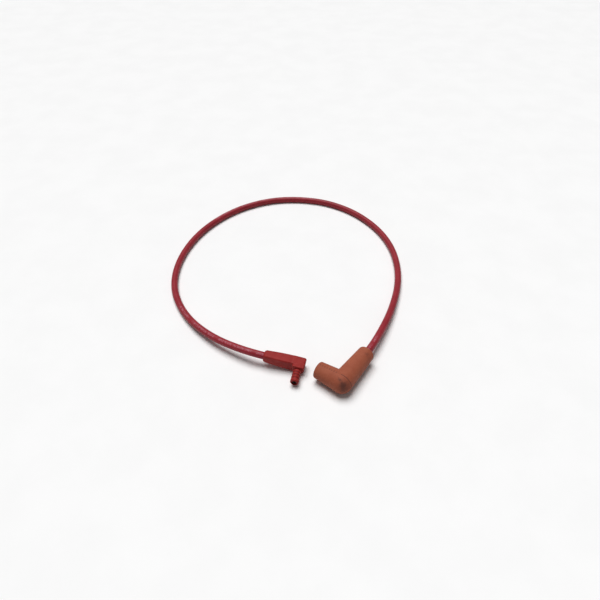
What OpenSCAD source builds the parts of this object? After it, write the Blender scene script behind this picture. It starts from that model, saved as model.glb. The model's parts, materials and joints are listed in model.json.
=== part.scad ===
// High-voltage ignition lead: a silicone cable with a moulded right-angle plug
// for the spark generator and a silicone elbow boot for the ignition electrode.
// Millimetres, +Z up. The lead lies on the plane Z = 0.

/* [Cable] */
// Outer diameter of the silicone cable
cable_d = 7; // [6.6:0.1:7]
// Diameter of the stranded copper core
core_d = 2; // [1.6:0.1:2]

/* [Plug] */
// Length of the plug from the axis of its snout to its cable end
plug_length = 33; // [31:0.5:36]
// Width of the plug at its elbow
plug_width = 10.4; // [9.8:0.1:10.8]
// Height of the plug at its elbow
plug_height = 10.7; // [10.4:0.1:11.4]
// Width and height of the plug at its cable end
plug_cable_size = 9; // [8.2:0.1:9.4]
// Reach of the ribbed snout from the axis of the plug's body
snout_reach = 22.2; // [22:0.1:24]
// Diameter over the ribs of the snout
rib_d = 7.8; // [7:0.1:8.2]
// Diameter between the ribs of the snout
snout_d = 6.5; // [6:0.1:6.6]
// Number of ribs on the snout
rib_count = 4; // [3:1:4]
// Bore of the plug's contact, for the generator's pin
pin_d = 2.5; // [2:0.1:2.6]

/* [Boot] */
// Diameter of the boot at its corner
boot_d = 20; // [19:0.1:21]
// Length of the leg around the cable, from the corner
cable_leg = 42.6; // [40:0.2:46]
// Diameter of that leg at its rim
cable_leg_d = 15.8; // [15:0.1:17]
// Length of the leg for the electrode, from the corner
mouth_leg = 25.4; // [25:0.2:28]
// Diameter of that leg at its mouth
mouth_leg_d = 16; // [15:0.1:17]
// Bore of the mouth, for the electrode's ceramic
ceramic_d = 8.2; // [7.6:0.1:8.6]
// Bore of the socket, for the electrode's rod
rod_d = 4; // [3.6:0.1:4]

/* [Hidden] */
$fn = 64;
fit_gap = 0.05;
eps = 0.01;

// Where the two connectors lie: elbow point, heading and lift of the body's axis
plug_at = [-17.7, 9.9, 5.7];
plug_heading = 169;
plug_lift = 9;
boot_at = [19.9, -14.5, boot_d / 2];
boot_heading = 54.5;

// Outside of the plug: ribs, forward leg, and its corner block from the plug's axes
rib_start = 8.9;
rib_pitch = 3.3;
rib_width = 1.1;
leg_reach = 8;
leg_d = 10;
plug_floor = 5;
plug_back = 5.9;
block_front = 6.6;
body_start = 6;
body_middle = 20;

// Insides of the plug, along its body axis and its snout axis
plug_jacket_end = 19;
plug_core_end = 10;
barrel_d = 3.6;
terminal_d = 5;
terminal_reach = 5;
contact_wall = 0.6;
contact_start = 1;
contact_reach = snout_reach - 1.6;
snout_bore_d = 4.6;
clip_wire = 0.35;

// Insides of the boot, along its cable leg and its mouth leg
cable_seat = 22;
core_end = 33;
spike_tip = 32;
spike_d = 1.7;
spike_head_d = 3;
block_d = 6;
block_reach = 11;
socket_block_d = 7.6;
socket_block_reach = 8;
socket_wall = 0.8;
socket_reach = 15;
ceramic_seat = 15.6;
clip_room_d = ceramic_d - 0.7;
cable_gap = 0.3;
rim_round = 1.1;

// Route of the free cable between the connectors, one point every 21 mm or so
route = [
    [-70, 23.5, 11],
    [-89, 34, 9.5],
    [-106, 47.5, 7.5],
    [-121, 63, 5.5],
    [-134, 81, 4],
    [-144, 100.5, 3.5],
    [-150.5, 121, 3.5],
    [-153, 143, 3.5],
    [-152, 165, 3.5],
    [-148, 186.5, 3.5],
    [-141.5, 207, 3.5],
    [-132, 227, 3.5],
    [-120, 245, 3.5],
    [-105.5, 261.5, 3.5],
    [-88.5, 275.5, 3.5],
    [-69.5, 286, 3.5],
    [-49, 293, 3.5],
    [-27, 295, 3.5],
    [-5.5, 293, 3.5],
    [15.5, 287.5, 3.5],
    [35, 276.5, 3.5],
    [51.5, 263, 3.5],
    [65.5, 246, 3.5],
    [77, 227, 3.5],
    [85, 207, 3.5],
    [90, 185.5, 3.5],
    [91.5, 163.5, 3.5],
    [90.5, 142, 3.5],
    [87, 120.5, 4],
    [81, 99, 5],
    [74, 78.5, 6.5],
    [65.5, 58.5, 8],
    [56, 39, 9.5]
];

// Directions of the connectors' body axes, and points along them
function heading_vector(heading, lift) =
    [cos(heading) * cos(lift), sin(heading) * cos(lift), sin(lift)];
function plug_point(x) = plug_at + x * heading_vector(plug_heading, plug_lift);
function boot_point(x) = boot_at + x * heading_vector(boot_heading, 0);

jacket_route = concat(
    [plug_point(plug_jacket_end), plug_point(plug_length), plug_point(plug_length + 8)],
    route,
    [boot_point(cable_leg + 7), boot_point(core_end), boot_point(cable_seat)]);
core_route = concat(
    [plug_point(plug_core_end), plug_point(plug_jacket_end), plug_point(plug_length),
        plug_point(plug_length + 8)],
    route,
    [boot_point(cable_leg + 7), boot_point(core_end)]);
cable_sides = 10;

// Sweeping: a ring of points round each point of a path, then a skin over the rings
function unit(v) = v / norm(v);
function tangent(path, i) =
    unit(path[min(i + 1, len(path) - 1)] - path[max(i - 1, 0)]);
function side_of(t) = unit(cross([0, 0, 1], t));
function ring(centre, t, radius) =
    [for (k = [0:cable_sides - 1])
        let (a = k * 360 / cable_sides - 90, s = side_of(t))
        centre + radius * (cos(a) * s + sin(a) * cross(t, s))];
function rings_along(path, radius) =
    [for (i = [0:len(path) - 1]) ring(path[i], tangent(path, i), radius)];

function flatten(lists) = [for (list = lists) for (item = list) item];
// Two triangles for each four-sided patch between ring i and ring i + 1
function skin(rows, n, first, inward) =
    [for (i = [0:rows - 2]) for (k = [0:n - 1])
        let (a = first + i * n + k, b = first + i * n + (k + 1) % n, c = a + n, d = b + n)
        for (f = inward ? [[a, b, c], [b, d, c]] : [[a, c, b], [b, c, d]]) f];
// Flat ring between an outer and an inner outline at one end
function rim(n, outer, inner, forward) =
    [for (k = [0:n - 1])
        let (a = outer + k, b = outer + (k + 1) % n, c = inner + k, d = inner + (k + 1) % n)
        for (f = forward ? [[a, c, b], [b, c, d]] : [[a, b, c], [b, d, c]]) f];
function cap(n, first, forward) =
    [[for (k = [0:n - 1]) first + (forward ? n - 1 - k : k)]];

// A solid skinned over rings that all have the same number of points
module loft(rings) {
    n = len(rings[0]);
    last = (len(rings) - 1) * n;
    polyhedron(flatten(rings),
        concat(skin(len(rings), n, 0, false), cap(n, 0, false), cap(n, last, true)));
}

// The same with a hollow skinned over a second set of rings
module loft_tube(outer, inner) {
    n = len(outer[0]);
    rows = len(outer);
    hole = rows * n;
    last = (rows - 1) * n;
    polyhedron(flatten(concat(outer, inner)),
        concat(skin(rows, n, 0, false), skin(rows, n, hole, true),
            rim(n, 0, hole, false), rim(n, last, hole + last, true)));
}

// A square outline with rounded corners, in the plane at x
corner_steps = 5;
function square_ring(x, width, height, r, rise = 0) =
    [for (q = [0:3]) for (k = [0:corner_steps])
        let (a = 90 * q + 90 * k / corner_steps, cy = width / 2 - r, cz = height / 2 - r)
        [x, (q == 0 || q == 3 ? cy : -cy) + r * cos(a),
            rise + (q < 2 ? cz : -cz) + r * sin(a)]];

// Places children in a connector's own frame: +X to the cable, +Y out of its opening
module at_plug() {
    translate(plug_at) rotate([0, 0, plug_heading]) rotate([0, -plug_lift, 0]) children();
}
module at_boot() {
    translate(boot_at) rotate([0, 0, boot_heading]) children();
}

// Rods and tubes along a connector's two axes
module rod_x(d, from, to) {
    translate([from, 0, 0]) rotate([0, 90, 0]) cylinder(d = d, h = to - from);
}
module rod_y(d, from, to) {
    translate([0, from, 0]) rotate([-90, 0, 0]) cylinder(d = d, h = to - from);
}

// A round outline of [radius, distance] points spun round the +Y axis
module spun_y(points) {
    rotate([-90, 0, 0]) rotate_extrude() polygon(points);
}
module spun_x(points) {
    rotate([0, 90, 0]) rotate_extrude() polygon(points);
}

// Cable
module cable_jacket() {
    color("crimson")
        loft_tube(rings_along(jacket_route, cable_d / 2), rings_along(jacket_route, core_d / 2));
}
module cable_core() {
    color("silver") loft(rings_along(core_route, core_d / 2));
}

// Plug
module snout() {
    r = snout_d / 2;
    rr = rib_d / 2;
    tip = snout_reach;
    ribs = [for (i = [0:rib_count - 1])
        let (y = rib_start + i * rib_pitch)
        for (p = [[r, y - 0.4], [rr, y], [rr, y + rib_width], [r, y + rib_width + 0.6]]) p];
    spun_y(concat([[0, 0], [r, 0]], ribs, [[rr - 0.2, tip - 1.2], [rr - 0.9, tip], [0, tip]]));
}
// Tapered body, corner block, forward leg (round below, flat on top) and snout
module plug_outside() {
    w = plug_width;
    h = plug_height;
    end = cable_d + 0.6;
    rise = h / 2 - plug_floor;
    loft([
        square_ring(body_start, w - 0.2, h - 0.4, 1.6, rise - 0.1),
        square_ring(body_middle, w - 0.5, h - 0.8, 1.8, rise / 2),
        square_ring(plug_length - 1.4, plug_cable_size, plug_cable_size, 2.2),
        square_ring(plug_length, end, end, 2.4)]);
    loft([
        square_ring(-plug_back, w - 1.4, h - 1.4, 0.9, rise),
        square_ring(-plug_back + 1, w, h, 1.2, rise),
        square_ring(block_front, w, h, 1.2, rise)]);
    rod_y(leg_d, 0, leg_reach);
    translate([-plug_back + 0.6, 0, 0]) cube([plug_back + 4.8, leg_reach, h - plug_floor]);
    snout();
}
module plug_housing() {
    color([0.72, 0.22, 0.2]) at_plug() difference() {
        plug_outside();
        rod_x(cable_d, plug_jacket_end, plug_length + 1);
        rod_x(barrel_d + 2 * fit_gap, 0, plug_jacket_end + eps);
        rod_y(terminal_d + 2 * fit_gap, -terminal_d / 2, terminal_reach + fit_gap);
        rod_y(snout_bore_d, terminal_reach, snout_reach + 1);
    }
}
module plug_terminal() {
    color("goldenrod") at_plug() difference() {
        union() {
            rod_x(barrel_d, 0, plug_jacket_end - 1);
            rod_y(terminal_d, -terminal_d / 2 + fit_gap, terminal_reach);
        }
        rod_x(core_d, plug_core_end, plug_jacket_end);
        rod_y(pin_d + 2 * contact_wall, contact_start, terminal_reach + 1);
    }
}
module plug_contact() {
    outer = pin_d + 2 * contact_wall;
    color("lightgrey") at_plug() difference() {
        rod_y(outer, contact_start, contact_reach);
        rod_y(pin_d, contact_start + 1, contact_reach + 1);
        for (turn = [0, 90])
            rotate([0, turn, 0])
                translate([-outer, contact_reach - 8, -0.2]) cube([2 * outer, 9, 0.4]);
    }
}
module plug_contact_clip() {
    r = pin_d / 2 + contact_wall + clip_wire / 2;
    color("silver") at_plug() translate([0, contact_reach - 3, 0]) rotate([-90, 0, 0])
        rotate_extrude(angle = 300) translate([r, 0]) circle(d = clip_wire, $fn = 16);
}

// Boot
module boot_leg(d_end, length) {
    r = d_end / 2;
    spun_x([
        [0, 0], [boot_d / 2, 0],
        [r, length - rim_round],
        [r - 0.3 * rim_round, length - 0.3 * rim_round],
        [r - rim_round, length],
        [0, length]]);
}
module electrode_boot() {
    color([0.68, 0.38, 0.28]) at_boot() difference() {
        union() {
            sphere(d = boot_d);
            boot_leg(cable_leg_d, cable_leg);
            rotate([0, 0, 90]) boot_leg(mouth_leg_d, mouth_leg);
        }
        rod_x(cable_d + 2 * cable_gap, cable_seat - 0.2, cable_leg + 1);
        rod_x(spike_head_d + 0.4, 0, cable_seat);
        rod_x(block_d + 2 * fit_gap, -block_d / 2, block_reach + fit_gap);
        rod_y(socket_block_d + 2 * fit_gap, -socket_block_d / 2, socket_block_reach + fit_gap);
        rod_y(clip_room_d, socket_block_reach, ceramic_seat + eps);
        rod_y(ceramic_d, ceramic_seat, mouth_leg + 1);
    }
}
module boot_terminal() {
    color("goldenrod") at_boot() difference() {
        union() {
            rod_x(block_d, -block_d / 2 + fit_gap, block_reach);
            rod_y(socket_block_d, -socket_block_d / 2 + fit_gap, socket_block_reach);
        }
        rod_x(spike_head_d, block_reach - 6, block_reach + 1);
        rod_y(rod_d + 2 * socket_wall, socket_block_reach - 5, socket_block_reach + 1);
    }
}
module cable_spike() {
    r = spike_d / 2;
    threads = [for (i = [0:4])
        let (x = cable_seat + 0.4 + i * 1.6)
        for (p = [[r - 0.2, x], [r, x + 0.7], [r, x + 0.8], [r - 0.2, x + 1.5]]) p];
    color("silver") at_boot() spun_x(concat(
        [[0, block_reach - 6], [spike_head_d / 2, block_reach - 6],
            [spike_head_d / 2, cable_seat - 0.4], [r - 0.2, cable_seat - 0.4]],
        threads,
        [[0, spike_tip]]));
}
module electrode_socket() {
    outer = rod_d + 2 * socket_wall;
    slot_from = socket_block_reach + 1;
    color("lightgrey") at_boot() difference() {
        rod_y(outer, socket_block_reach - 5, socket_reach);
        rod_y(rod_d, socket_block_reach - 4, socket_reach + 1);
        for (turn = [45, 135])
            rotate([0, turn, 0])
                translate([-outer, slot_from, -0.25]) cube([2 * outer, socket_reach, 0.5]);
    }
}
module socket_clip() {
    wire = 0.7;
    r = rod_d / 2 + socket_wall + wire / 2;
    color("silver") at_boot() translate([0, socket_reach - 2, 0]) rotate([-90, 0, 0])
        rotate_extrude(angle = 300) translate([r, 0]) circle(d = wire, $fn = 16);
}

cable_jacket();
cable_core();
plug_housing();
plug_terminal();
plug_contact();
plug_contact_clip();
electrode_boot();
boot_terminal();
cable_spike();
electrode_socket();
socket_clip();
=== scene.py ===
"""High-voltage ignition lead: silicone cable, moulded right-angle plug, silicone elbow boot."""

import json
import math

import bmesh
import bpy
from mathutils import Matrix, Vector, noise


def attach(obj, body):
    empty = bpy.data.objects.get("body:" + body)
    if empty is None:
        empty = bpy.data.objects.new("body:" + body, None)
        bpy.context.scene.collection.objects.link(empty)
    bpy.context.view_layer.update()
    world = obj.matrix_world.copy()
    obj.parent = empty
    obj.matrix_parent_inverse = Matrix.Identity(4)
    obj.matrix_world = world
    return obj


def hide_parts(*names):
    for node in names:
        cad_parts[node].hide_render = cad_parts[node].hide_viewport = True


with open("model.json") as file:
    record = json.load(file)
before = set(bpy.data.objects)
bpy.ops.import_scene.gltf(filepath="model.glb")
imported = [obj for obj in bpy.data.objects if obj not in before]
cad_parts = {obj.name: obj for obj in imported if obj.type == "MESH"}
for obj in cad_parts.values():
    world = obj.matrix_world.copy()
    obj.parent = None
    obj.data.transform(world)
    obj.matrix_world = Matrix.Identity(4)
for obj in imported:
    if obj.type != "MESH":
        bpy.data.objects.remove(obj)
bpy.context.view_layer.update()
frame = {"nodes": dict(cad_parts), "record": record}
MM = 0.001

# ---------------------------------------------------------------- places, from the frame

record = frame["record"]
mounts = {m["name"]: m for m in record["mounts"]}
swivel = record["behaviour"]["joints"][0]


def along(start, axis, point):
    """The point on a line that is nearest to another point."""
    return start + axis * axis.dot(point - start)


def basis(origin, x_axis, y_axis):
    """A connector's own frame: +X to the cable, +Y out of its opening."""
    z_axis = x_axis.cross(y_axis)
    turn = Matrix((x_axis, y_axis, z_axis)).transposed()
    return Matrix.Translation(origin) @ turn.to_4x4()


CABLE_AXIS = Vector(swivel["axis"]).normalized()
MOUTH_AXIS = Vector(mounts["electrode_mouth"]["axis"]).normalized()
SNOUT_AXIS = Vector(mounts["generator_contact"]["axis"]).normalized()
# How steeply the plug's body rises to its cable, and how far its contact's mount is out from
# its corner
PLUG_LIFT = math.radians(9)
CONTACT_MIDDLE = 11.3 * MM

boot_corner = along(
    Vector(swivel["pos_m"]), CABLE_AXIS, Vector(mounts["electrode_mouth"]["pos_m"])
)
plug_corner = Vector(mounts["generator_contact"]["pos_m"]) - SNOUT_AXIS * CONTACT_MIDDLE
plug_flat = SNOUT_AXIS.cross(Vector((0, 0, 1))).normalized()
PLUG_AXIS = plug_flat * math.cos(PLUG_LIFT) + Vector((0, 0, math.sin(PLUG_LIFT)))

BOOT = basis(boot_corner, CABLE_AXIS, MOUTH_AXIS)
PLUG = basis(plug_corner, PLUG_AXIS, SNOUT_AXIS)

# ---------------------------------------------------------------- camera

SENSOR_WIDTH = 36
FOCAL_SHARE = 560 / 600
CAMERA_PITCH = math.radians(42)
CAMERA_PLACE = Vector((-0.01665, -0.3304, 0.3914))

camera = bpy.data.objects.new("camera", bpy.data.cameras.new("camera"))
bpy.context.scene.collection.objects.link(camera)
camera.data.sensor_width = SENSOR_WIDTH
camera.data.lens = SENSOR_WIDTH * FOCAL_SHARE
camera.data.clip_start = 0.01
camera.location = CAMERA_PLACE
camera.rotation_euler = (math.pi / 2 - CAMERA_PITCH, 0, 0)
bpy.context.scene.camera = camera

# ---------------------------------------------------------------- mesh helpers


def new_object(name, mesh, body, replaced):
    """A visible piece that rides on a body and stands for CAD nodes."""
    obj = bpy.data.objects.new(name, mesh)
    bpy.context.scene.collection.objects.link(obj)
    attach(obj, body)
    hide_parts(*replaced)
    return obj


def mesh_from(name, vertices, faces):
    mesh = bpy.data.meshes.new(name)
    mesh.from_pydata([tuple(v) for v in vertices], [], faces)
    mesh.update()
    return mesh


def smooth(mesh, angle=35):
    mesh.shade_smooth()
    mesh.set_sharp_from_angle(angle=math.radians(angle))


def keep_place(mesh):
    """Stores each point's place in its connector's own frame, in millimetres, for the material."""
    layer = mesh.attributes.new("place", "FLOAT_VECTOR", "POINT")
    for v in mesh.vertices:
        layer.data[v.index].vector = v.co / MM


def lathe(profile, sides=96):
    """A closed solid from (distance along +X, radius) points, spun round +X."""
    vertices, faces = [], []
    for x, r in profile:
        for k in range(sides):
            a = 2 * math.pi * k / sides
            vertices.append(Vector((x, r * math.cos(a), r * math.sin(a))))
    for i in range(len(profile) - 1):
        for k in range(sides):
            a, b = i * sides + k, i * sides + (k + 1) % sides
            faces.append((a, b, b + sides, a + sides))
    faces.append(tuple(reversed(range(sides))))
    last = (len(profile) - 1) * sides
    faces.append(tuple(last + k for k in range(sides)))
    return vertices, faces


def turned(shape, matrix):
    """The shape with each of its points moved by the matrix."""
    vertices, faces = shape
    return [matrix @ v for v in vertices], faces


def scratch(name, shape):
    """An object that only lends its shape to another one."""
    obj = bpy.data.objects.new(name, mesh_from(name, *shape))
    bpy.context.scene.collection.objects.link(obj)
    return obj


def applied(obj):
    """The object's mesh with its modifiers, as a new mesh."""
    graph = bpy.context.evaluated_depsgraph_get()
    return bpy.data.meshes.new_from_object(obj.evaluated_get(graph))


def combine(base, others, operation):
    """The base shape with each other shape joined to it or cut from it."""
    for other in others:
        tool = base.modifiers.new("combine", "BOOLEAN")
        tool.operation = operation
        tool.solver = "EXACT"
        tool.object = other
        mesh = applied(base)
        base.modifiers.clear()
        base.data = mesh
        bpy.data.objects.remove(other)


# ---------------------------------------------------------------- cable

CABLE_RADIUS = 3.5 * MM
CORE_RADIUS = 1.0 * MM

# Along the plug's body axis and the boot's cable leg: where the cable's jacket and core end, and
# how far the cable runs straight out of each
PLUG_LENGTH = 33 * MM
PLUG_JACKET_END = 19 * MM
PLUG_STRAIGHT = 8 * MM
CABLE_LEG = 42.6 * MM
CABLE_SEAT = 22 * MM
CORE_END = 33 * MM
BOOT_STRAIGHT = 7 * MM
PATH_STEP = 2 * MM

# How much the die lets the cable's radius vary
SWELL = 0.03 * MM

# The free cable's route, as in the CAD source, in metres
ROUTE = [
    (-0.07, 0.0235, 0.011),
    (-0.089, 0.034, 0.0095),
    (-0.106, 0.0475, 0.0075),
    (-0.121, 0.063, 0.0055),
    (-0.134, 0.081, 0.004),
    (-0.144, 0.1005, 0.0035),
    (-0.1505, 0.121, 0.0035),
    (-0.153, 0.143, 0.0035),
    (-0.152, 0.165, 0.0035),
    (-0.148, 0.1865, 0.0035),
    (-0.1415, 0.207, 0.0035),
    (-0.132, 0.227, 0.0035),
    (-0.12, 0.245, 0.0035),
    (-0.1055, 0.2615, 0.0035),
    (-0.0885, 0.2755, 0.0035),
    (-0.0695, 0.286, 0.0035),
    (-0.049, 0.293, 0.0035),
    (-0.027, 0.295, 0.0035),
    (-0.0055, 0.293, 0.0035),
    (0.0155, 0.2875, 0.0035),
    (0.035, 0.2765, 0.0035),
    (0.0515, 0.263, 0.0035),
    (0.0655, 0.246, 0.0035),
    (0.077, 0.227, 0.0035),
    (0.085, 0.207, 0.0035),
    (0.09, 0.1855, 0.0035),
    (0.0915, 0.1635, 0.0035),
    (0.0905, 0.142, 0.0035),
    (0.087, 0.1205, 0.004),
    (0.081, 0.099, 0.005),
    (0.074, 0.0785, 0.0065),
    (0.0655, 0.0585, 0.008),
    (0.056, 0.039, 0.0095),
]


def plug_point(x):
    """A point on the plug's body axis."""
    return PLUG @ Vector((x, 0, 0))


def boot_point(x):
    """A point on the boot's cable leg axis."""
    return BOOT @ Vector((x, 0, 0))


def spline(points, step):
    """A smooth cubic curve near the points, through the first and the last, evenly sampled."""
    first, last = points[0] * 2 - points[1], points[-1] * 2 - points[-2]
    control = [first] + points + [last]
    raw, samples = [], 24
    for i in range(1, len(control) - 2):
        p0, p1, p2, p3 = control[i - 1 : i + 3]
        for k in range(samples):
            t = k / samples
            raw.append(
                (
                    p0 * (1 - t) ** 3
                    + p1 * (3 * t**3 - 6 * t**2 + 4)
                    + p2 * (-3 * t**3 + 3 * t**2 + 3 * t + 1)
                    + p3 * t**3
                )
                / 6
            )
    raw.append(points[-1])
    reach = [0.0]
    for a, b in zip(raw, raw[1:]):
        reach.append(reach[-1] + (b - a).length)
    count = round(reach[-1] / step)
    even, j = [], 0
    for i in range(count + 1):
        want = reach[-1] * i / count
        while j < len(raw) - 2 and reach[j + 1] < want:
            j += 1
        share = (want - reach[j]) / (reach[j + 1] - reach[j])
        even.append(raw[j].lerp(raw[j + 1], share))
    return even, reach[-1]


def cable_mesh(path, sides=36):
    """A thick-walled tube along the path; its UVs are millimetres along and turns round."""
    vertices, faces, uvs = [], [], []
    count = len(path)
    for i, p in enumerate(path):
        t = (path[min(i + 1, count - 1)] - path[max(i - 1, 0)]).normalized()
        side = Vector((0, 0, 1)).cross(t).normalized()
        up = t.cross(side)
        swell = SWELL * noise.noise(Vector((i * 0.06, 3.1, 0.7)))
        for radius in (CABLE_RADIUS + swell, CORE_RADIUS):
            for k in range(sides):
                a = 2 * math.pi * k / sides - math.pi / 2
                vertices.append(p + (side * math.cos(a) + up * math.sin(a)) * radius)
    row = 2 * sides
    for i in range(count - 1):
        for k in range(sides):
            a, b = i * row + k, i * row + (k + 1) % sides
            faces.append((a, b, b + row, a + row))
            uvs.append(((i, k), (i, k + 1), (i + 1, k + 1), (i + 1, k)))
            c, d = a + sides, b + sides
            faces.append((c, c + row, d + row, d))
            uvs.append(((i, k), (i + 1, k), (i + 1, k + 1), (i, k + 1)))
    for i, flip in ((0, False), (count - 1, True)):
        for k in range(sides):
            a, b = i * row + k, i * row + (k + 1) % sides
            face = (a, a + sides, b + sides, b)
            faces.append(face[::-1] if flip else face)
            uvs.append(((i, k),) * 4)
    mesh = mesh_from("cable", vertices, faces)
    layer = mesh.uv_layers.new(name="cable_uv")
    step = (path[1] - path[0]).length / MM
    for polygon, corners in zip(mesh.polygons, uvs):
        for loop, (i, k) in zip(polygon.loop_indices, corners):
            layer.data[loop].uv = (i * step, k / sides)
    smooth(mesh)
    return mesh


route = [plug_point(x) for x in (PLUG_JACKET_END, PLUG_LENGTH, PLUG_LENGTH + PLUG_STRAIGHT)]
route += [Vector(p) for p in ROUTE]
route += [boot_point(x) for x in (CABLE_LEG + BOOT_STRAIGHT, CORE_END, CABLE_SEAT)]
cable_path, cable_length = spline(route, PATH_STEP)
cable = new_object(
    "silicone_cable", cable_mesh(cable_path), "lead", ["cable_jacket"]
)

# ---------------------------------------------------------------- boot

BOOT_RADIUS = 10 * MM
CABLE_LEG_RADIUS = 7.9 * MM
MOUTH_LEG = 25.4 * MM
MOUTH_LEG_RADIUS = 8 * MM
RIM_ROUND = 1.1 * MM
SEAM_HALF = 0.2 * MM
SEAM_RIDGE = 0.09 * MM
SEAM_GROOVE = 0.12 * MM

# Its bores, in millimetres: axis, from, to, radius
BOOT_BORES = (
    ("x", 21.8, 45, 3.8),  # cable
    ("x", 0, 22.5, 1.7),  # spike
    ("x", -3.05, 11.05, 3.05),  # brass block
    ("y", -3.85, 8.05, 3.85),  # the block's end for the socket
    ("y", 7.9, 15.61, 3.75),  # room round the socket and its ring
    ("y", 15.6, 28, 4.1),  # electrode's ceramic
)


def leg_radius(x, length, end_radius):
    """Radius of a tapered leg at this distance from the corner."""
    return BOOT_RADIUS + (end_radius - BOOT_RADIUS) * x / (length - RIM_ROUND)


def cable_leg_radius(x):
    return leg_radius(x, CABLE_LEG, CABLE_LEG_RADIUS)


def mouth_leg_radius(y):
    return leg_radius(y, MOUTH_LEG, MOUTH_LEG_RADIUS)


def crease(angle):
    """Where the two legs' outsides meet, at this angle round the cable leg."""
    x = y = BOOT_RADIUS * math.cos(angle)
    z = 0
    for _ in range(30):
        r = cable_leg_radius(x)
        y, z = r * math.cos(angle), r * math.sin(angle)
        x = math.sqrt(max(mouth_leg_radius(y) ** 2 - z * z, 0))
    return Vector((x, y, z))


def leg_angles():
    """Angles round a leg, with extra lines beside the mould seam at the top and bottom."""
    angles = [2 * math.pi * k / 128 for k in range(128)]
    step = SEAM_HALF / BOOT_RADIUS
    for top in (math.pi / 2, 3 * math.pi / 2):
        angles += [top - step, top + step]
    return sorted(angles)


def leg_grid(angles, length, radius_at, start_at):
    """Rows of points from the corner to the rim; x is along the leg, y is inward."""
    # Shares of the way to the rim, closer together near the crease
    shares = [0, 0.012, 0.03, 0.06] + [0.1 + 0.9 * k / 30 for k in range(31)]
    end = length - RIM_ROUND
    rows = []
    for angle in angles:
        start = start_at(angle)
        first = math.atan2(start.z, start.y)
        if first < -1e-9:
            first += 2 * math.pi
        row = []
        for share in shares:
            x = start.x + (end - start.x) * share
            a = first + (angle - first) * min(share * 8, 1)
            r = radius_at(x)
            row.append(Vector((x, r * math.cos(a), r * math.sin(a))))
        r = radius_at(end)
        for k in range(1, 6):
            t = math.radians(90 * k / 5)
            x = end + RIM_ROUND * math.sin(t)
            rr = r - RIM_ROUND * (1 - math.cos(t))
            row.append(Vector((x, rr * math.cos(angle), rr * math.sin(angle))))
        rows.append(row)
    return rows


def cable_leg_start(angle):
    """Where the cable leg's outside begins: at the crease on the inner half, else at the dome."""
    if math.cos(angle) > 1e-9:
        return crease(math.atan2(math.sin(angle), math.cos(angle)))
    return Vector((0, BOOT_RADIUS * math.cos(angle), BOOT_RADIUS * math.sin(angle)))


def swap(v):
    return Vector((v.y, v.x, v.z))


def mouth_leg_start(angle):
    """The same for the mouth leg, whose own X runs along its axis."""
    return swap(cable_leg_start(angle)) if math.cos(angle) > 1e-9 else cable_leg_start(angle)


def boot_shape():
    """The boot's outside, closed: two legs, creased inside and domed outside the corner."""
    angles = leg_angles()
    n = len(angles)
    bm = bmesh.new()

    def add_leg(rows, place):
        points = [[bm.verts.new(place(p)) for p in row] for row in rows]
        for k in range(n):
            a, b = points[k], points[(k + 1) % n]
            for j in range(len(a) - 1):
                bm.faces.new((a[j], b[j], b[j + 1], a[j + 1]))
        bm.faces.new([row[-1] for row in points])

    add_leg(leg_grid(angles, CABLE_LEG, cable_leg_radius, cable_leg_start), lambda p: p)
    add_leg(leg_grid(angles, MOUTH_LEG, mouth_leg_radius, mouth_leg_start), swap)

    outer = [a for a in angles if math.pi / 2 - 1e-9 <= a <= 3 * math.pi / 2 + 1e-9]
    turns = [0, SEAM_HALF / BOOT_RADIUS] + [math.radians(90 * k / 32) for k in range(1, 33)]
    dome = []
    for angle in outer:
        flat, z = -BOOT_RADIUS * math.cos(angle), BOOT_RADIUS * math.sin(angle)
        dome.append(
            [bm.verts.new((-flat * math.sin(t), -flat * math.cos(t), z)) for t in turns]
        )
    for a, b in zip(dome, dome[1:]):
        for j in range(len(a) - 1):
            bm.faces.new((a[j], a[j + 1], b[j + 1], b[j]))

    # Both legs and the dome share their edge points, which are joined here
    bmesh.ops.remove_doubles(bm, verts=bm.verts, dist=2e-6)
    bmesh.ops.dissolve_degenerate(bm, dist=1e-7, edges=bm.edges)
    bmesh.ops.recalc_face_normals(bm, faces=bm.faces)
    soften_crease(bm)
    raise_seam(bm)
    mesh = bpy.data.meshes.new("boot")
    bm.to_mesh(mesh)
    bm.free()
    return mesh


def soften_crease(bm):
    """Rounds the inside corner where the legs meet."""
    for _ in range(10):
        near = []
        for v in bm.verts:
            x, y, z = v.co
            if x > 0.2 * MM and y > 0.2 * MM and abs(x - y) < 1.1 * MM:
                near.append(v)
        bmesh.ops.smooth_vert(
            bm, verts=near, factor=0.5, use_axis_x=True, use_axis_y=True, use_axis_z=True
        )


def raise_seam(bm):
    """The mould's parting line on top: a low ridge on the mouth leg, a groove over the dome."""
    for v in bm.verts:
        x, y, z = v.co
        if abs(x) > 2e-6 or z < 0.5 * MM or y > MOUTH_LEG - RIM_ROUND:
            continue
        out = Vector((0, min(y, 0), z)).normalized()
        v.co += out * (SEAM_RIDGE if y > 0.2 * MM else -SEAM_GROOVE)


def rod(axis, start, end, radius):
    """A round rod along a connector's X or Y axis; all sizes in millimetres."""
    shape = lathe([(start * MM, radius * MM), (end * MM, radius * MM)])
    if axis == "y":
        shape = turned(shape, Matrix.Rotation(math.pi / 2, 4, "Z"))
    return shape


boot = new_object("elbow_boot", boot_shape(), "boot", ["electrode_boot"])
combine(boot, [scratch("cut", rod(*bore)) for bore in BOOT_BORES], "DIFFERENCE")
keep_place(boot.data)
boot.data.transform(BOOT)
smooth(boot.data, 40)

# ---------------------------------------------------------------- plug

# Millimetres, as in the CAD source
PLUG_WIDTH = 10.4
PLUG_HEIGHT = 10.7
PLUG_RISE = 0.35
PLUG_BACK = 5.9
PLUG_CABLE_SIZE = 9
LEG_RADIUS = 5
LEG_REACH = 8
SNOUT_ROOT = 3.2
SNOUT_REACH = 22.2
RIB_CREST = 3.9
RIB_COUNT = 4
RIB_START = 8.9
RIB_PITCH = 3.3

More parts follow.
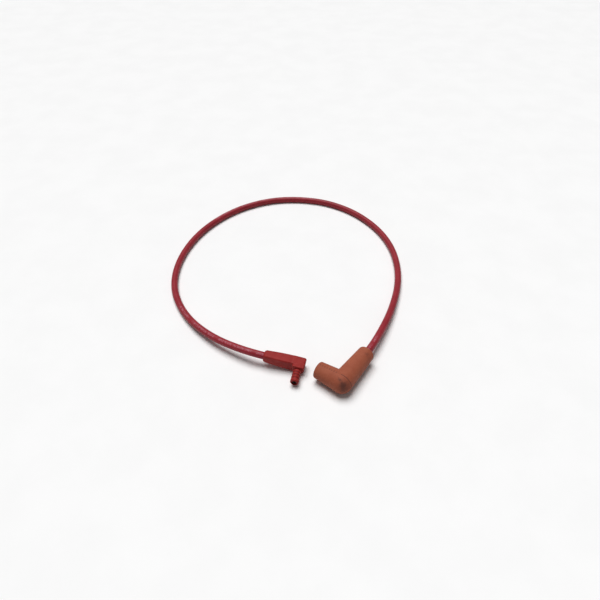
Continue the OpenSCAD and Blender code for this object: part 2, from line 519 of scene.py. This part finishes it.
# Its bores: axis, from, to, radius
PLUG_BORES = (
    ("x", 19, 34, 3.5),  # cable
    ("x", 0, 19.05, 1.85),  # the terminal's barrel
    ("y", -2.5, 5.05, 2.55),  # terminal
    ("y", 5, 24, 2.3),  # contact
)
PLUG_VOXEL = 0.22 * MM


def square_ring(x, width, height, r, rise=0, steps=8):
    """A rounded oblong across the plug's body, in millimetres."""
    points = []
    for quarter in range(4):
        sy = 1 if quarter in (0, 3) else -1
        sz = 1 if quarter < 2 else -1
        cy, cz = width / 2 - r, height / 2 - r
        for k in range(steps + 1):
            a = math.radians(90 * quarter + 90 * k / steps)
            y, z = sy * cy + r * math.cos(a), rise + sz * cz + r * math.sin(a)
            points.append(Vector((x, y, z)) * MM)
    return points


def loft(rings):
    """A closed solid skinned over rings that all have the same number of points."""
    n = len(rings[0])
    vertices = [p for ring in rings for p in ring]
    faces = []
    for i in range(len(rings) - 1):
        for k in range(n):
            a, b = i * n + k, i * n + (k + 1) % n
            faces.append((a, b, b + n, a + n))
    faces.append(tuple(reversed(range(n))))
    faces.append(tuple((len(rings) - 1) * n + k for k in range(n)))
    return vertices, faces


def snout_profile():
    """(y, radius) points: a stepped root, one barb after another, and the bevelled tip."""
    points = [(0, SNOUT_ROOT), (RIB_START - 0.9, SNOUT_ROOT)]
    for k in range(RIB_COUNT):
        y = RIB_START + RIB_PITCH * k
        crest = RIB_CREST - 0.06 * (RIB_COUNT - 1 - k)
        points += [(y - 0.55, SNOUT_ROOT), (y - 0.15, crest - 0.2), (y + 0.15, crest)]
        if k < RIB_COUNT - 1:
            points += [(y + 1.35, crest), (y + 1.6, crest - 0.2), (y + 1.95, SNOUT_ROOT)]
    tip = SNOUT_REACH
    points += [(tip - 1.3, RIB_CREST), (tip - 0.9, RIB_CREST - 0.12), (tip, RIB_CREST - 0.95)]
    return [(y * MM, r * MM) for y, r in points]


def plug_body():
    """The tapered body: full at the elbow, narrowing towards the cable and rounded off there."""
    w, h, end = PLUG_WIDTH, PLUG_HEIGHT, PLUG_CABLE_SIZE
    return loft(
        [
            square_ring(6, w - 0.1, h - 0.1, 1.3, PLUG_RISE),
            square_ring(13, w - 0.2, h - 0.3, 1.4, PLUG_RISE * 0.8),
            square_ring(20, w - 0.5, h - 0.8, 1.5, PLUG_RISE * 0.5),
            square_ring(31.2, end, end, 1.8),
            square_ring(32.3, end - 0.5, end - 0.5, 2.4),
            square_ring(33, 7.6, 7.6, 2.6),
        ]
    )


def plug_block():
    """The corner block, standing a hair proud of the body."""
    w, h, back = PLUG_WIDTH, PLUG_HEIGHT, -PLUG_BACK
    sections = (
        (back, 2.2, 0.9),
        (back + 0.25, 1.3, 1.0),
        (back + 0.7, 0.6, 1.1),
        (back + 1.5, 0, 1.2),
        (6.3, 0, 1.2),
        (6.6, 0.3, 1.2),
    )
    return loft([square_ring(x, w - less, h - less, r, PLUG_RISE) for x, less, r in sections])


def leg_shape():
    """The elbow's forward leg: flat on top, round below."""
    top = PLUG_HEIGHT / 2 + PLUG_RISE
    outline = []
    for k in range(25):
        a = math.radians(180 + 180 * k / 24)
        outline.append((LEG_RADIUS * math.cos(a), LEG_RADIUS * math.sin(a)))
    # Up the right side, over the top and down the left side
    left = -PLUG_BACK + 0.6
    outline += [(5.4, top - 0.8), (4.6, top), (left + 0.8, top), (left, top - 0.8)]
    vertices, faces = [], []
    sections = ((0, 1), (LEG_REACH - 0.4, 1), (LEG_REACH, 0.94))
    for y, share in sections:
        vertices += [Vector((x * share, y, z * share)) * MM for x, z in outline]
    n = len(outline)
    for i in range(len(sections) - 1):
        for k in range(n):
            a, b = i * n + k, i * n + (k + 1) % n
            faces.append((a, a + n, b + n, b))
    faces.append(tuple(range(n)))
    faces.append(tuple(2 * n + k for k in reversed(range(n))))
    return vertices, faces


def plug_shape():
    """The whole moulding, joined and bored, as one object."""
    body = scratch("plug_body", plug_body())
    snout = turned(lathe(snout_profile()), Matrix.Rotation(math.pi / 2, 4, "Z"))
    added = [scratch("added", shape) for shape in (plug_block(), leg_shape(), snout)]
    combine(body, added, "UNION")
    combine(body, [scratch("cut", rod(*bore)) for bore in PLUG_BORES], "DIFFERENCE")
    return body


shape = plug_shape()
remesh = shape.modifiers.new("remesh", "REMESH")
remesh.mode = "VOXEL"
remesh.voxel_size = PLUG_VOXEL
plug_mesh = applied(shape)
bpy.data.objects.remove(shape)
plug = new_object("plug_moulding", plug_mesh, "lead", ["plug_housing"])
keep_place(plug.data)
plug.data.transform(PLUG)
plug.data.shade_smooth()

# ---------------------------------------------------------------- material helpers


class Finish:
    """A node material, built up one node at a time around its Principled shader."""

    def __init__(self, name, **constants):
        self.material = bpy.data.materials.new(name)
        self.material.use_nodes = True
        self.tree = self.material.node_tree
        self.shader = self.tree.nodes["Principled BSDF"]
        for socket, value in constants.items():
            self.shader.inputs[socket.replace("_", " ")].default_value = value

    def node(self, kind, inputs, output=0, **settings):
        """Adds a node, with a link or a value on each named input, and gives its output."""
        made = self.tree.nodes.new("ShaderNode" + kind)
        for name, value in settings.items():
            setattr(made, name, value)
        for key, value in inputs.items():
            if isinstance(value, bpy.types.NodeSocket):
                self.tree.links.new(value, made.inputs[key])
            else:
                made.inputs[key].default_value = value
        return made.outputs[output]

    def maths(self, operation, a, b=0.0):
        return self.node("Math", {0: a, 1: b}, operation=operation)

    def object_place(self):
        """Where a point is on the unmoved object, in millimetres."""
        made = self.tree.nodes.new("ShaderNodeTexCoord").outputs["Object"]
        return self.node("VectorMath", {0: made, "Scale": 1000.0}, operation="SCALE")

    def own_place(self):
        """Where a point is in its connector's own frame, in millimetres."""
        return self.node("Attribute", {}, "Vector", attribute_name="place")

    def axes(self, vector):
        """The vector's X, Y and Z outputs."""
        made = self.tree.nodes.new("ShaderNodeSeparateXYZ")
        self.tree.links.new(vector, made.inputs[0])
        return made.outputs[:3]

    def noise(self, vector, scale, detail=3.0, roughness=0.55, distortion=0.0):
        inputs = {"Vector": vector, "Scale": scale, "Detail": detail}
        return self.node("TexNoise", {**inputs, "Roughness": roughness, "Distortion": distortion})

    def stretched(self, vector, x, y, z):
        """The vector with each axis scaled by its own number."""
        return self.node("VectorMath", {0: vector, 1: (x, y, z)}, operation="MULTIPLY")

    def span(self, value, low, high, to_low=0.0, to_high=1.0):
        """The value's smooth rise from low to high, as a number from to_low to to_high."""
        ends = {"From Min": low, "From Max": high, "To Min": to_low, "To Max": to_high}
        return self.node("MapRange", {"Value": value, **ends}, interpolation_type="SMOOTHSTEP")

    def near(self, vector, centre, inner, outer):
        """1 within the inner distance of a point, falling to 0 at the outer distance."""
        away = self.node("VectorMath", {0: vector, 1: centre}, "Value", operation="DISTANCE")
        return self.span(away, inner, outer, 1.0, 0.0)

    def mix(self, share, a, b):
        """Colour a, turning into colour b as the share goes from 0 to 1."""
        made = self.tree.nodes.new("ShaderNodeMix")
        made.data_type = "RGBA"
        for socket, value in ((made.inputs[0], share), (made.inputs[6], a), (made.inputs[7], b)):
            if isinstance(value, bpy.types.NodeSocket):
                self.tree.links.new(value, socket)
            elif isinstance(value, tuple):
                socket.default_value = (*value, 1.0)
            else:
                socket.default_value = value
        return made.outputs[2]

    def bump(self, height, distance, strength=1.0, normal=None):
        inputs = {"Height": height, "Distance": distance, "Strength": strength}
        if normal is not None:
            inputs["Normal"] = normal
        return self.node("Bump", inputs)

    def done(self, colour, roughness, normal):
        for socket, value in (("Base Color", colour), ("Roughness", roughness), ("Normal", normal)):
            self.tree.links.new(value, self.shader.inputs[socket])
        return self.material


# ---------------------------------------------------------------- materials

# Where the pale crumbs lie, partly worn print and partly painted highlight, in millimetres from the
# cable's start: turns round the cable at the start and the end of the run, and the stretches that
# still show some
PRINT_AND_HIGHLIGHT_TURN = (0.43, 0.5)
PRINT_AND_HIGHLIGHT_TURN_RUN = 330
PRINT_AND_HIGHLIGHT_STRETCHES = ((16, 128), (300, 430), (735, 750))

# Where dirt and painted shade show on the boot, in its own frame in millimetres: centre, inner,
# outer, share
BOOT_SMUDGES_AND_SHADE = (
    ((-5.0, -5.0, 4.5), 1.0, 8.0, 0.5),
    ((-6.4, -4.8, 6.0), 0.9, 4.4, 0.6),
    ((-4.9, -0.3, 8.7), 0.3, 2.4, 0.6),
    # Painted shade on the corner's outer side
    ((-7.6, -6.6, 0.5), 1.0, 5.5, 0.5),
    ((36.0, -4.2, 7.0), 0.4, 3.4, 0.3),
)
SMUDGE_AND_SHADE_WOBBLE = 4.4

# Distance between the ticks on the boot's parting line, and where the plug's rough block ends
TICK_PITCH = 2.4
ROUGH_EDGE = 6.5


def cable_silicone():
    """Satin silicone drawn from a die: lengthwise lines, faint scuffs, and pale crumbs on top,
    partly worn-off print and partly painted highlight.
    """
    m = Finish("cable_silicone", Specular_IOR_Level=0.22)
    place = m.object_place()
    run, turn, _ = m.axes(m.node("UVMap", {}, uv_map="cable_uv"))
    strip = m.node("CombineXYZ", {0: run, 1: turn, 2: 0.0})
    lines = m.noise(m.stretched(strip, 0.05, 60.0, 1.0), 1.0, 3.0)
    cloud = m.noise(place, 0.09, 2.0)
    grain = m.noise(place, 2.6, 3.0)
    colour = m.mix(m.span(cloud, 0.3, 0.7), (0.265, 0.018, 0.027), (0.315, 0.025, 0.036))
    colour = m.mix(m.span(lines, 0.35, 0.75, 0.0, 0.45), colour, (0.19, 0.01, 0.018))
    colour = m.mix(m.span(grain, 0.55, 0.8, 0.0, 0.3), colour, (0.4, 0.075, 0.09))

    # Pale crumbs, partly print rubbed away and partly painted highlight: only on top, and only
    # along some stretches
    centre = m.span(run, 0, PRINT_AND_HIGHLIGHT_TURN_RUN, *PRINT_AND_HIGHLIGHT_TURN)
    aside = m.maths("ABSOLUTE", m.maths("SUBTRACT", turn, centre))
    crumbs = m.noise(m.stretched(strip, 0.75, 13.0, 1.0), 1.0, 3.0, 0.75, 1.2)
    patches = m.noise(m.stretched(strip, 0.1, 0.0, 1.0), 1.0, 1.0)
    print_and_highlight = m.maths("MULTIPLY", m.span(crumbs, 0.47, 0.54), m.span(patches, 0.4, 0.46))
    print_and_highlight = m.maths("MULTIPLY", print_and_highlight, m.span(aside, 0.035, 0.065, 1.0, 0.0))
    reach = None
    for start, end in PRINT_AND_HIGHLIGHT_STRETCHES:
        begun = m.span(run, start - 4, start)
        inside = m.maths("MULTIPLY", begun, m.span(run, end, end + 9, 1.0, 0.0))
        reach = inside if reach is None else m.maths("MAXIMUM", reach, inside)
    print_and_highlight = m.maths("MULTIPLY", m.maths("MULTIPLY", print_and_highlight, reach), 0.55)
    # The crumbs' pale pink: worn print and painted highlight
    colour = m.mix(print_and_highlight, colour, (0.52, 0.2, 0.25))

    scuffs = m.noise(m.stretched(strip, 0.5, 9.0, 1.0), 1.0, 5.0, 0.7)
    roughness = m.span(scuffs, 0.3, 0.75, 0.36, 0.56)
    normal = m.bump(lines, 0.00006, 0.5)
    normal = m.bump(grain, 0.00004, 0.5, normal)
    return m.done(colour, roughness, normal)


def boot_silicone():
    """Matte brick-brown silicone with a talc-like bloom, dark smudges, painted shade on the corner
    and its parting line.
    """
    m = Finish("boot_silicone", Specular_IOR_Level=0.2)
    place = m.own_place()
    x, y, z = m.axes(place)
    cloud = m.noise(place, 0.11, 3.0)
    mottle = m.noise(place, 0.7, 4.0, 0.6)
    grain = m.noise(place, 4.5, 2.0)
    colour = m.mix(m.span(cloud, 0.3, 0.7), (0.295, 0.073, 0.037), (0.33, 0.088, 0.045))
    colour = m.mix(m.span(mottle, 0.45, 0.75, 0.0, 0.35), colour, (0.38, 0.13, 0.08))
    colour = m.mix(m.span(grain, 0.5, 0.8, 0.0, 0.25), colour, (0.24, 0.06, 0.032))

    # Handling dirt: a cloud over the corner, a dark spot in it, and a thumb mark by the cable; also
    # painted shade on the corner's outer side
    jitter = m.node("TexNoise", {"Vector": place, "Scale": 0.45}, "Color")
    wobble = m.stretched(jitter, SMUDGE_AND_SHADE_WOBBLE, SMUDGE_AND_SHADE_WOBBLE, SMUDGE_AND_SHADE_WOBBLE)
    blurred = m.node("VectorMath", {0: place, 1: wobble}, operation="ADD")
    half_back = (-SMUDGE_AND_SHADE_WOBBLE / 2,) * 3
    blurred = m.node("VectorMath", {0: blurred, 1: half_back}, operation="ADD")
    for centre, inner, outer, share in BOOT_SMUDGES_AND_SHADE:
        smudge_and_shade = m.maths("MULTIPLY", m.near(blurred, centre, inner, outer), share)
        colour = m.mix(smudge_and_shade, colour, (0.075, 0.03, 0.025))

    # The parting line: ticks along the mouth leg's top, a fine dark line over the dome
    beside = m.maths("ABSOLUTE", x)
    ticks = m.maths("PINGPONG", m.maths("ADD", y, 60.0), TICK_PITCH / 2)
    ticks = m.maths("MULTIPLY", m.span(ticks, 0.55, 0.85), m.span(beside, 0.5, 1.1, 0.5, 0.0))
    ticks = m.maths("MULTIPLY", ticks, m.span(y, 3.0, 6.0))
    on_dome = m.span(y, 0.5, 2.0, 1.0, 0.0)
    line = m.maths("MULTIPLY", m.span(beside, 0.2, 0.5, 0.85, 0.0), on_dome)
    seam = m.maths("MULTIPLY", m.maths("MAXIMUM", ticks, line), m.span(z, -2.0, 1.0))
    colour = m.mix(seam, colour, (0.09, 0.03, 0.022))

    roughness = m.span(mottle, 0.3, 0.8, 0.62, 0.8)
    normal = m.bump(mottle, 0.00012, 0.35)
    normal = m.bump(grain, 0.00006, 0.5, normal)
    normal = m.bump(ticks, 0.00015, 0.6, normal)
    return m.done(colour, roughness, normal)


def plug_moulding():
    """Satin red moulding: a spark-eroded block, smoother flanks, and painted shade between the
    ribs.
    """
    m = Finish("plug_moulding", Specular_IOR_Level=0.18)
    place = m.own_place()
    x, y, z = m.axes(place)
    cloud = m.noise(place, 0.16, 3.0)
    mottle = m.noise(place, 0.9, 4.0, 0.65)
    grain = m.noise(place, 4.0, 3.0)
    colour = m.mix(m.span(cloud, 0.3, 0.7), (0.255, 0.012, 0.01), (0.3, 0.019, 0.016))
    colour = m.mix(m.span(mottle, 0.5, 0.8, 0.0, 0.4), colour, (0.37, 0.05, 0.044))
    colour = m.mix(m.span(grain, 0.5, 0.8, 0.0, 0.25), colour, (0.2, 0.016, 0.016))

    # Painted shade darkens the grooves between the ribs
    across = m.node("CombineXYZ", {0: x, 1: 0.0, 2: z})
    depth = m.node("VectorMath", {0: across}, "Value", operation="LENGTH")
    on_snout = m.span(y, LEG_REACH + 0.2, LEG_REACH + 0.7)
    in_groove = m.span(depth, SNOUT_ROOT + 0.1, RIB_CREST - 0.15, 0.6, 0.0)
    painted_groove_shade = m.maths("MULTIPLY", in_groove, on_snout)
    colour = m.mix(painted_groove_shade, colour, (0.1, 0.006, 0.008))

    # The corner block is rougher and patchier than the body
    rough_block = m.span(x, ROUGH_EDGE - 0.4, ROUGH_EDGE + 0.4, 1.0, 0.35)
    patches = m.noise(place, 0.55, 3.0, 0.7, 0.6)
    patches = m.maths("MULTIPLY", m.span(patches, 0.42, 0.62), rough_block)
    colour = m.mix(m.maths("MULTIPLY", patches, 0.3), colour, (0.38, 0.056, 0.048))
    roughness = m.span(mottle, 0.3, 0.8, 0.46, 0.6)
    normal = m.bump(m.maths("MULTIPLY", mottle, rough_block), 0.0003, 0.35)
    normal = m.bump(grain, 0.00006, 0.5, normal)
    return m.done(colour, roughness, normal)


def metal(name, low, high, stain, roughness_low, roughness_high, lengthwise):
    """A turned or rolled metal: fine tool lines, cloudy tarnish and darker specks."""
    m = Finish(name, Metallic=1.0)
    place = m.object_place()
    cloud = m.noise(place, 0.35, 3.0)
    specks = m.noise(place, 3.0, 4.0, 0.7)
    lines = m.noise(m.stretched(place, *lengthwise), 1.0, 3.0)
    colour = m.mix(m.span(cloud, 0.3, 0.7), low, high)
    colour = m.mix(m.span(specks, 0.58, 0.75, 0.0, 0.6), colour, stain)
    roughness = m.span(cloud, 0.3, 0.7, roughness_low, roughness_high)
    normal = m.bump(lines, 0.00003, 0.5)
    return m.done(colour, roughness, normal)


cable.data.materials.append(cable_silicone())
boot.data.materials.append(boot_silicone())
plug.data.materials.append(plug_moulding())

# Dark tone, light tone and stain of each metal
TIN = ((0.55, 0.54, 0.51), (0.68, 0.67, 0.64), (0.25, 0.23, 0.2))
BRASS = ((0.55, 0.38, 0.14), (0.68, 0.5, 0.22), (0.22, 0.13, 0.05))
TINNED_BRASS = ((0.6, 0.56, 0.46), (0.7, 0.67, 0.58), (0.3, 0.24, 0.14))
ZINC = ((0.5, 0.52, 0.54), (0.66, 0.67, 0.68), (0.25, 0.25, 0.26))
# The plug's contact deep in its bore: tin painted near-black as shade
TIN_IN_PAINTED_SHADE = ((0.09, 0.085, 0.08), (0.14, 0.135, 0.125), (0.04, 0.038, 0.035))
SPRING = ((0.36, 0.37, 0.38), (0.5, 0.5, 0.5), (0.14, 0.12, 0.11))

# Each metal piece's material: name, tones, least and greatest roughness, and tool lines' scale
METALS = {
    "cable_core": metal("tinned_copper", *TIN, 0.3, 0.45, (9.0, 9.0, 9.0)),
    "plug_terminal": metal("brass_turned", *BRASS, 0.25, 0.4, (1.0, 1.0, 14.0)),
    "plug_contact": metal("tin_in_painted_shade", *TIN_IN_PAINTED_SHADE, 0.35, 0.5, (14.0, 2.0, 14.0)),
    "plug_contact_clip": metal("clip_steel", *SPRING, 0.28, 0.42, (14.0, 2.0, 14.0)),
    "boot_terminal": metal("brass_block", *BRASS, 0.28, 0.42, (3.0, 3.0, 12.0)),
    "cable_spike": metal("zinc_steel", *ZINC, 0.28, 0.42, (8.0, 8.0, 2.0)),
    "electrode_socket": metal("socket_brass", *TINNED_BRASS, 0.22, 0.38, (6.0, 6.0, 12.0)),
    "socket_clip": metal("socket_spring", *SPRING, 0.28, 0.42, (6.0, 6.0, 12.0)),
}
for node_name, finish in METALS.items():
    node = frame["nodes"][node_name]
    for i in range(len(node.material_slots)):
        node.material_slots[i].link = "OBJECT"
        node.material_slots[i].material = finish

# ---------------------------------------------------------------- floor and light

FLOOR_REACH = 60
floor_corners = [
    Vector((x * FLOOR_REACH, y * FLOOR_REACH, 0)) for x, y in ((-1, -1), (1, -1), (1, 1), (-1, 1))
]
floor_mesh = mesh_from("floor", floor_corners, [(0, 1, 2, 3)])
floor = bpy.data.objects.new("floor", floor_mesh)
bpy.context.scene.collection.objects.link(floor)
pale = Finish("floor", Specular_IOR_Level=0.2)
dust = pale.noise(pale.object_place(), 0.02, 3.0)
floor.data.materials.append(
    pale.done(
        pale.mix(pale.span(dust, 0.3, 0.7), (0.88, 0.88, 0.88), (0.9, 0.9, 0.9)),
        pale.span(dust, 0.3, 0.7, 0.75, 0.85),
        pale.bump(dust, 0.0001, 0.1),
    )
)


def area_light(name, place, target, size, power):
    """A round soft light aimed at a point."""
    light = bpy.data.lights.new(name, "AREA")
    light.shape = "DISK"
    light.size = size
    light.energy = power
    obj = bpy.data.objects.new(name, light)
    bpy.context.scene.collection.objects.link(obj)
    obj.location = place
    obj.rotation_euler = (Vector(target) - Vector(place)).to_track_quat("-Z", "Y").to_euler()


MIDDLE = (-0.03, 0.1, 0)
area_light("fill", (1.2, -1.8, 2.2), MIDDLE, 1.6, 2)

# A broad soft key from behind and to the left, even over the whole floor
key = bpy.data.objects.new("key", bpy.data.lights.new("key", "SUN"))
key.data.energy = 3.0
key.data.angle = math.radians(44)
key.rotation_euler = Vector((0.4, -0.8, -2.9)).to_track_quat("-Z", "Y").to_euler()
bpy.context.scene.collection.objects.link(key)

# Dim light from all round, in front of a backdrop as pale as the floor
ROOM_LIGHT = 0.15
BACKDROP_LIGHT = 0.88
world = bpy.data.worlds.new("studio")
world.use_nodes = True
background = world.node_tree.nodes["Background"]
background.inputs["Color"].default_value = (1, 1, 1, 1)
seen = world.node_tree.nodes.new("ShaderNodeLightPath").outputs["Is Camera Ray"]
strength = world.node_tree.nodes.new("ShaderNodeMapRange")
strength.inputs["To Min"].default_value = ROOM_LIGHT
strength.inputs["To Max"].default_value = BACKDROP_LIGHT
world.node_tree.links.new(seen, strength.inputs["Value"])
world.node_tree.links.new(strength.outputs[0], background.inputs["Strength"])
bpy.context.scene.world = world
bpy.context.scene.view_settings.view_transform = "Standard"
